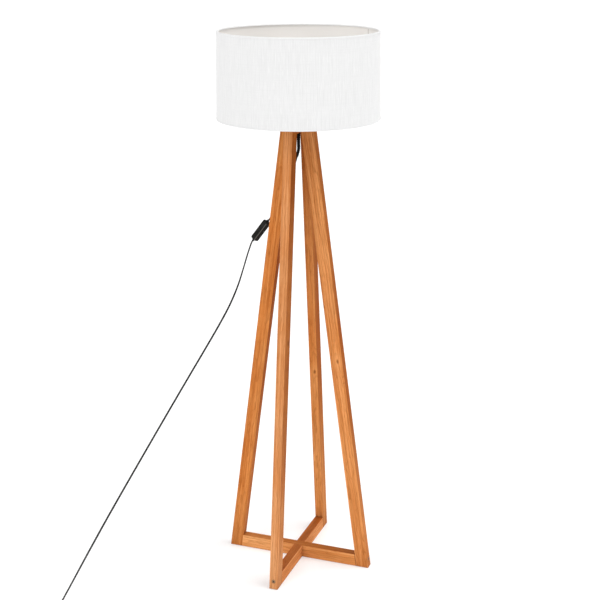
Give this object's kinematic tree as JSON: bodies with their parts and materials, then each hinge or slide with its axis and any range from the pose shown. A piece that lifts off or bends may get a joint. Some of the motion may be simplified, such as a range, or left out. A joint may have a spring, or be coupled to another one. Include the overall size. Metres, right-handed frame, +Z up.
{
  "type": "wooden floor lamp",
  "caption": "Floor lamp with crossed wooden trapezoid frames, a white tapered drum shade, an inline flex switch and a two-pin plug.",
  "frame": {"origin": "on the floor, under the axis of the shade and of the crossing of the two frames", "axes": "+Z up; the narrow frame lies in the XZ plane and the wide frame in the YZ plane"},
  "size_m": [0.788, 0.8355, 1.569],
  "materials": {
    "wood": "clear satin oil on solid honey-brown wood",
    "beech_dowel": "raw dowel",
    "blackened_steel": "blackened bolt",
    "zinc_steel": "zinc plated",
    "brass": "plain brass",
    "black_plastic": "fine moulded grain",
    "ivory_plastic": "smooth moulding",
    "flex": "smooth flexible sheath",
    "bulb_metal": "nickel plated",
    "white_plastic": "smooth moulding",
    "opal": "opal diffuser",
    "shade_lining": "satin laminate",
    "shade_cloth": "white slub weave",
    "white_metal": "white lacquer",
    "glide_felt": "matt pad"
  },
  "bodies": {
    "stand": {"leg_left": "wood", "leg_right": "wood", "leg_front": "wood", "leg_back": "wood", "floor_rail_narrow": "wood", "floor_rail_wide": "wood", "foot_bolts": "blackened_steel", "foot_barrel_nuts": "zinc_steel", "foot_dowels": "beech_dowel", "foot_glides": "glide_felt", "crossing_screw": "zinc_steel", "head_block": "wood", "head_bolts": "blackened_steel", "head_barrel_nuts": "zinc_steel", "head_dowels": "beech_dowel", "head_strap": "zinc_steel", "strap_screws": "zinc_steel", "nipple": "brass", "nipple_nuts": "zinc_steel", "nipple_washer": "zinc_steel", "cord_grip": "black_plastic", "lead_wires": "ivory_plastic", "holder_cap": "black_plastic", "holder_core": "ivory_plastic", "holder_shell": "black_plastic", "holder_terminals": "brass", "holder_contacts": "brass", "holder_screw_shell": "brass", "shade_ring_lower": "black_plastic", "cord_upper": "flex", "switch_base": "black_plastic", "switch_cover": "black_plastic", "switch_pin": "zinc_steel", "switch_contacts": "brass", "switch_screws": "zinc_steel", "cord_lower": "flex", "cord_coil": "flex", "coil_tie": "black_plastic", "cord_tail": "flex", "plug_body": "black_plastic", "plug_pins": "bulb_metal"},
    "shade": {"shade_liner": "shade_lining", "shade_fabric": "shade_cloth", "shade_top_ring": "white_metal", "shade_spider": "white_metal", "shade_top_hem": "shade_cloth", "shade_bottom_hem": "shade_cloth"},
    "collar_nut": {"shade_ring_upper": "black_plastic"},
    "bulb": {"bulb_tip": "bulb_metal", "bulb_insulator": "black_plastic", "bulb_cap": "bulb_metal", "bulb_housing": "white_plastic", "bulb_led_board": "white_plastic", "bulb_globe": "opal"},
    "rocker": {"switch_rocker": "black_plastic"}
  },
  "joints": [
    {"name": "rocker_tilt", "type": "hinge", "parent": "stand", "child": "rocker", "pos_m": [-0.12876, 0.02264, 1.0017], "axis": [-0.6698, 0.5446, 0.5047], "range_deg": [0, 14]},
    {"name": "shade_turn", "type": "hinge", "parent": "stand", "child": "shade", "pos_m": [0, 0, 1.368], "axis": [0, 0, 1], "continuous": true},
    {"name": "collar_nut_turn", "type": "hinge", "parent": "stand", "child": "collar_nut", "pos_m": [0, 0, 1.368], "axis": [0, 0, 1], "range_deg": [0, 720]},
    {"name": "bulb_turn", "type": "hinge", "parent": "stand", "child": "bulb", "pos_m": [0, 0, 1.4], "axis": [0, 0, 1], "range_deg": [0, 1260]}
  ]
}
